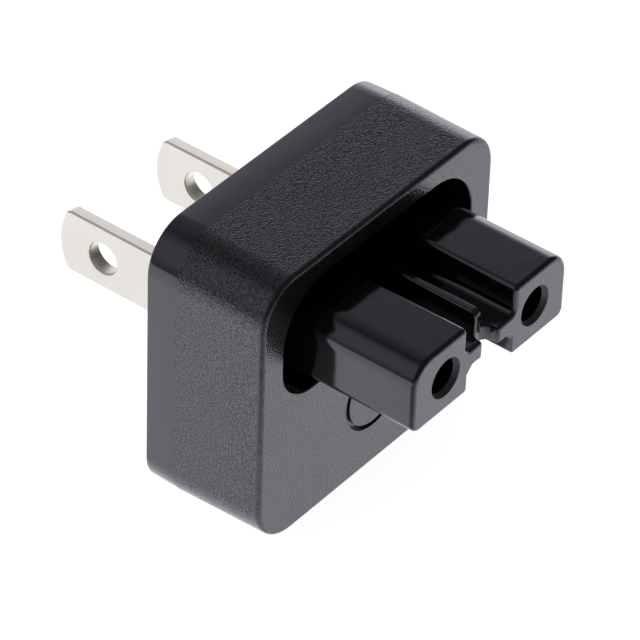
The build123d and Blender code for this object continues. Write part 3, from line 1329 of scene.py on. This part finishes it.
@dataclass
class Blade:
    """One stamped and plated blade, with the foot that holds it in the cover."""

    body: Body
    side: Side
    # The plate, its arched tip and how far its middle stands above the body's.
    pitch: float = 12.7
    width: float = 6.35
    thickness: float = 1.4
    length: float = 16.55
    rise: float = 0.13
    edge: float = 0.2
    tip_radius: float = 6.35
    tip_corner: float = 0.68
    tip_steps: int = 14
    corner_steps: int = 6
    # How much smaller the sheared right side is all round.
    shear: float = 0.15
    # The lock hole and its soft rim.
    hole_radius: float = 1.57
    hole_from_face: float = 11.75
    hole_rim: float = 0.15
    hole_start_deg: float = 12.0
    # The foot inside the cover, its bend, and the depth of the slot's tool.
    foot_reach: float = 3.65
    foot_bend: float = 0.5
    slot_depth: float = 3.0
    # Part of the normal along X above which a face belongs to the flat of the plate.
    flat_facing: float = 0.9

    @property
    def name(self) -> str:
        """The side's name in plain letters."""
        return self.side.name.lower()

    @property
    def x(self) -> float:
        """X of the blade's middle."""
        return self.side.value * self.pitch / 2

    @property
    def z(self) -> float:
        """Z of the blade's middle."""
        return self.body.height / 2 + self.rise

    @property
    def faces(self) -> Point:
        """X of the plate's left and right faces."""
        return self.x - self.thickness / 2, self.x + self.thickness / 2

    def outline(self) -> list[Point]:
        """Draw the side view of the blade in Y and Z, from its foot to its arched tip.

        Returns:
            The outline's points.
        """
        half, radius = self.width / 2, self.tip_radius
        centre = self.body.rear + self.length - radius
        swing = math.asin(half / radius)
        arch = [-swing + 2 * swing * k / self.tip_steps for k in range(self.tip_steps + 1)]
        bow = [(centre + radius * math.cos(a), self.z + radius * math.sin(a), 0.0) for a in arch]
        bow[0] = (*bow[0][:2], self.tip_corner)
        bow[-1] = (*bow[-1][:2], self.tip_corner)
        back = self.body.rear - self.body.cover_plate - self.thickness
        return rounded(
            [(back, self.z - half, 0.0), *bow, (back, self.z + half, 0.0)], self.corner_steps
        )

    def slot(self, clearance: float) -> Solid:
        """Build the tool that cuts this blade's slot in the cover.

        Args:
            clearance: gap round the blade.

        Returns:
            The tool.
        """
        left, right = self.faces[0] - clearance, self.faces[1] + clearance
        low, high = self.z - self.width / 2 - clearance, self.z + self.width / 2 + clearance
        points = [(left, low), (right, low), (right, high), (left, high)]
        rear = self.body.rear
        return loft("slot", Run.Y, [(rear - self.slot_depth, points), (rear + PAST, points)])

    def hole(self) -> Solid:
        """Build the tool that pierces the lock hole, with the soft rim that the punch leaves.

        Returns:
            The tool.
        """
        centre = (self.body.rear + self.hole_from_face, self.z)
        left, right = self.faces
        sections = []
        for wider, end in round_over(self.hole_rim, self.hole_start_deg):
            ring = circle(*centre, self.hole_radius + wider)
            sections += [(left + end, ring), (right - end, ring)]
        mouth = sections[0][1]
        ends = [(left - OVERLAP, mouth), (right + OVERLAP, mouth)]
        return loft("hole", Run.X, in_order([*ends, *sections]))

    def foot(self) -> Solid:
        """Build the foot, which lies against the inside of the cover.

        Returns:
            The closed solid, bent round on the outer side.
        """
        outer = self.x + self.side.value * self.thickness / 2
        inner = self.x - self.side.value * self.foot_reach
        low, high = sorted((outer, inner))
        bends = (self.foot_bend, 0.0) if self.side is Side.LEFT else (0.0, self.foot_bend)
        back = self.body.rear - self.body.cover_plate
        points = rounded([
            (low, back - self.thickness, bends[0]), (high, back - self.thickness, bends[1]),
            (high, back, 0.0), (low, back, 0.0),
        ])
        half = self.width / 2
        return loft("foot", Run.Z, [(self.z - half, points), (self.z + half, points)])

    def build(self) -> Solid:
        """Build and dress the blade.

        Returns:
            The finished piece.
        """
        points = self.outline()
        left, right = self.faces
        sections = []
        for side, end in round_over(self.edge):
            sections += [
                (left + end, inset(points, side)), (right - end, inset(points, side + self.shear))
            ]
        blade = loft(f"blade_plate_{self.name}", Run.X, in_order(sections))
        carve(blade, Cut.REMOVE, self.hole())
        carve(blade, Cut.JOIN, self.foot())
        smooth(blade)
        # The rims take the paler nickel, which is painted light.
        dress(blade, "blade", f"blade_{self.name}", NICKEL_PLATE.material(), NICKEL_EDGE_PAINTED_LIGHT.material())
        for face in blade.data.polygons:
            face.material_index = 0 if abs(face.normal.x) > self.flat_facing else 1
        return blade


@dataclass
class Contacts:
    """The spring sleeves and rivets inside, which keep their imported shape."""

    nodes: tuple[str, ...] = ("socket_left", "socket_right", "rivet_left", "rivet_right")

    def dress(self, packed: dict[str, Solid]) -> list[Solid]:
        """Give each contact its metal.

        Args:
            packed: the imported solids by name.

        Returns:
            The contacts.
        """
        pieces = [packed[name] for name in self.nodes]
        for piece in pieces:
            piece.data.materials.clear()
            piece.data.materials.append(SPRING_BRASS.material())
        return pieces


def two_way_light(tree: Tree, tint: str, seen: float, mirrored: Socket) -> dict[str, Socket]:
    """Add a light that is white to the camera and tinted to all that mirrors it.

    Args:
        tree: the tree that takes it.
        tint: sRGB code of its tint.
        seen: its strength to the camera.
        mirrored: socket of its strength to all that mirrors it.

    Returns:
        The sockets of its colour and strength, by the names of a shader's inputs.
    """
    to_camera = add_node(tree, "ShaderNodeLightPath").outputs["Is Camera Ray"]
    strength = add_node(
        tree, "ShaderNodeMix", {"data_type": "FLOAT"}, {"B": seen}, {"Factor": to_camera, "A": mirrored}
    )
    return {"Color": blend(tree, to_camera, linear(tint), WHITE), "Strength": strength.outputs["Result"]}


@dataclass(frozen=True)
class Glow:
    """A soft patch of light in the studio, far away.

    Attributes:
        azimuth_deg: direction of the patch about Z, from +X towards +Y.
        elevation_deg: height of its middle above the table.
        inner_deg: angle about its middle that is fully lit.
        outer_deg: angle at which it has faded out.
        radiance: how bright it is, where 1 is white.
    """

    azimuth_deg: float
    elevation_deg: float
    inner_deg: float
    outer_deg: float
    radiance: float

    def add(self, tree: Tree, way: Socket) -> Socket:
        """Add the patch to a world.

        Args:
            tree: the world's tree.
            way: socket that gives the direction looked in.

        Returns:
            The socket of the patch's brightness in that direction.
        """
        axis = direction(self.azimuth_deg, self.elevation_deg)
        near = add_node(tree, "ShaderNodeVectorMath", {"operation": "DOT_PRODUCT"}, {1: axis}, {0: way})
        start, full = (math.cos(math.radians(angle)) for angle in (self.outer_deg, self.inner_deg))
        return map_range(tree, near.outputs["Value"], start, full, 0.0, self.radiance, Ease.SOFT)


@dataclass
class Studio:
    """White table, dim room with soft patches of light, and the camera at the photograph's angle."""

    # The camera: the way from the part to it, its turn about that way, its lens and its place.
    azimuth_deg: float = -142.86
    elevation_deg: float = 39.62
    roll_deg: float = 2.055
    focal_px: float = 4925.02
    frame_px: float = 640.0
    sensor_mm: float = 36.0
    near_clip: float = 0.01
    eye_mm: tuple[float, float, float] = (-253.7, -192.235, 275.78)
    # The table: its width in metres, its paint, and its own light to the camera and to what mirrors it.
    floor_size: float = 6.0
    table_paint: float = 0.9
    table_seen: float = 0.92
    table_white: float = 1.3
    table_tint: str = "#F6F6FF"
    # A darker round patch of table towards the camera, which the front of the part mirrors.
    table_shade: float = 0.3
    shade_middle_mm: float = 75.0
    shade_inner_mm: float = 30.0
    shade_outer_mm: float = 54.0
    # The table fades outside a circle, and is bright again farther to the right.
    table_far: float = 0.1
    table_middle_mm: Point = (-36.0, 28.0)
    table_near_mm: float = 118.0
    table_far_mm: float = 132.0
    table_right_mm: Point = (70.0, 110.0)
    # The room and the lights in it.
    sky_tint: str = "#F0F0FF"
    room: float = 0.12
    glows: tuple[Glow, ...] = (
        Glow(48.0, 6.0, 20.0, 37.0, 0.9),
        Glow(60.0, 30.0, 10.0, 52.0, 0.28),
        Glow(146.0, 30.0, 4.0, 42.0, 0.6),
        Glow(18.0, 6.0, 8.0, 24.0, 1.5),
    )

    def camera(self) -> None:
        """Make the camera that the photograph was fitted with."""
        back = direction(self.azimuth_deg, self.elevation_deg)
        roll = math.radians(self.roll_deg)
        level = Vector((0, 0, 1)).cross(back).normalized()
        upright = back.cross(level)
        right = math.cos(roll) * level + math.sin(roll) * upright
        up = math.cos(roll) * upright - math.sin(roll) * level
        lens = bpy.data.cameras.new("camera")
        lens.sensor_width = self.sensor_mm
        lens.lens = self.focal_px / self.frame_px * self.sensor_mm
        lens.clip_start = self.near_clip
        made = new_object("camera", lens)
        turn = Matrix((right, up, back)).transposed()
        made.matrix_world = Matrix.Translation(Vector(self.eye_mm) * MM) @ turn.to_4x4()
        bpy.context.scene.camera = made

    def table_light(self, tree: Tree) -> Socket:
        """Add the table's own light from place to place.

        Args:
            tree: the table's material.

        Returns:
            The socket of its strength to all that mirrors it.
        """
        place = add_node(tree, "ShaderNodeNewGeometry").outputs["Position"]
        shade = map_range(
            tree, distance(tree, place, direction(self.azimuth_deg, 0.0) * self.shade_middle_mm),
            self.shade_inner_mm * MM, self.shade_outer_mm * MM, self.table_shade, self.table_white, Ease.SOFT,
        )
        fade = map_range(
            tree, distance(tree, place, Vector((*self.table_middle_mm, 0.0))),
            self.table_near_mm * MM, self.table_far_mm * MM, 1.0, self.table_far, Ease.SOFT,
        )
        across = add_node(tree, "ShaderNodeSeparateXYZ", links={"Vector": place}).outputs["X"]
        start, full = self.table_right_mm
        right = map_range(tree, across, start * MM, full * MM, ease=Ease.SOFT)
        return combine(tree, Sum.MULTIPLY, shade, combine(tree, Sum.LARGER, fade, right))

    def floor(self) -> None:
        """Make the white table. Part of its white is its own, so that shadows on it stay faint."""
        material, tree = new_material("white_table")
        light = two_way_light(tree, self.table_tint, self.table_seen, self.table_light(tree))
        glow = add_node(tree, "ShaderNodeEmission", links=light)
        paint = add_node(tree, "ShaderNodeBsdfDiffuse", values={"Color": shaded(WHITE, self.table_paint)})
        both = add_node(
            tree, "ShaderNodeAddShader", links={0: glow.outputs["Emission"], 1: paint.outputs["BSDF"]}
        )
        add_node(tree, "ShaderNodeOutputMaterial", links={"Surface": both.outputs["Shader"]})
        builder = bmesh.new()
        bmesh.ops.create_grid(builder, x_segments=1, y_segments=1, size=self.floor_size / 2)
        mesh = bpy.data.meshes.new("table")
        builder.to_mesh(mesh)
        builder.free()
        mesh.materials.append(material)
        new_object("table", mesh)

    def world(self) -> None:
        """Make the dim room, which the camera sees as white behind the table."""
        world = bpy.data.worlds.new("studio_room")
        world.use_nodes = True
        tree = world.node_tree
        tree.nodes.clear()
        way = add_node(tree, "ShaderNodeTexCoord").outputs["Generated"]
        light = add_node(tree, "ShaderNodeValue").outputs["Value"]
        light.default_value = self.room
        for glow in self.glows:
            light = combine(tree, Sum.ADD, light, glow.add(tree, way))
        sky = add_node(
            tree, "ShaderNodeBackground", links=two_way_light(tree, self.sky_tint, 1.0, light)
        )
        add_node(tree, "ShaderNodeOutputWorld", links={"Surface": sky.outputs["Background"]})
        bpy.context.scene.world = world

    def build(self) -> None:
        """Set up the whole studio."""
        self.camera()
        self.floor()
        self.world()
        bpy.context.scene.view_settings.view_transform = "Standard"


def corners(box: Sequence[Sequence[float]]) -> list[list[float]]:
    """Turn a box into plain lists of numbers."""
    return [[float(value) for value in corner] for corner in box]


def main() -> None:
    """Build the pieces in order, dress them and set up the studio."""
    logging.basicConfig(level=logging.INFO, format="%(name)s: %(message)s")
    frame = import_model()
    body = Body()
    blades = [Blade(body, side) for side in Side]
    pieces = [
        Housing(body, Nose(body)).build(ring_tree(POLISHED_PLASTIC.material())),
        Cover(body).build(slab_tree(BAND_PLASTIC.material()), blades),
        *(blade.build() for blade in blades),
        *Contacts().dress(frame["nodes"]),
    ]
    for piece in pieces:
        LOG.info("%s: %d faces", piece.name, len(piece.data.polygons))
    Studio().build()


if __name__ == "__main__":
    main()
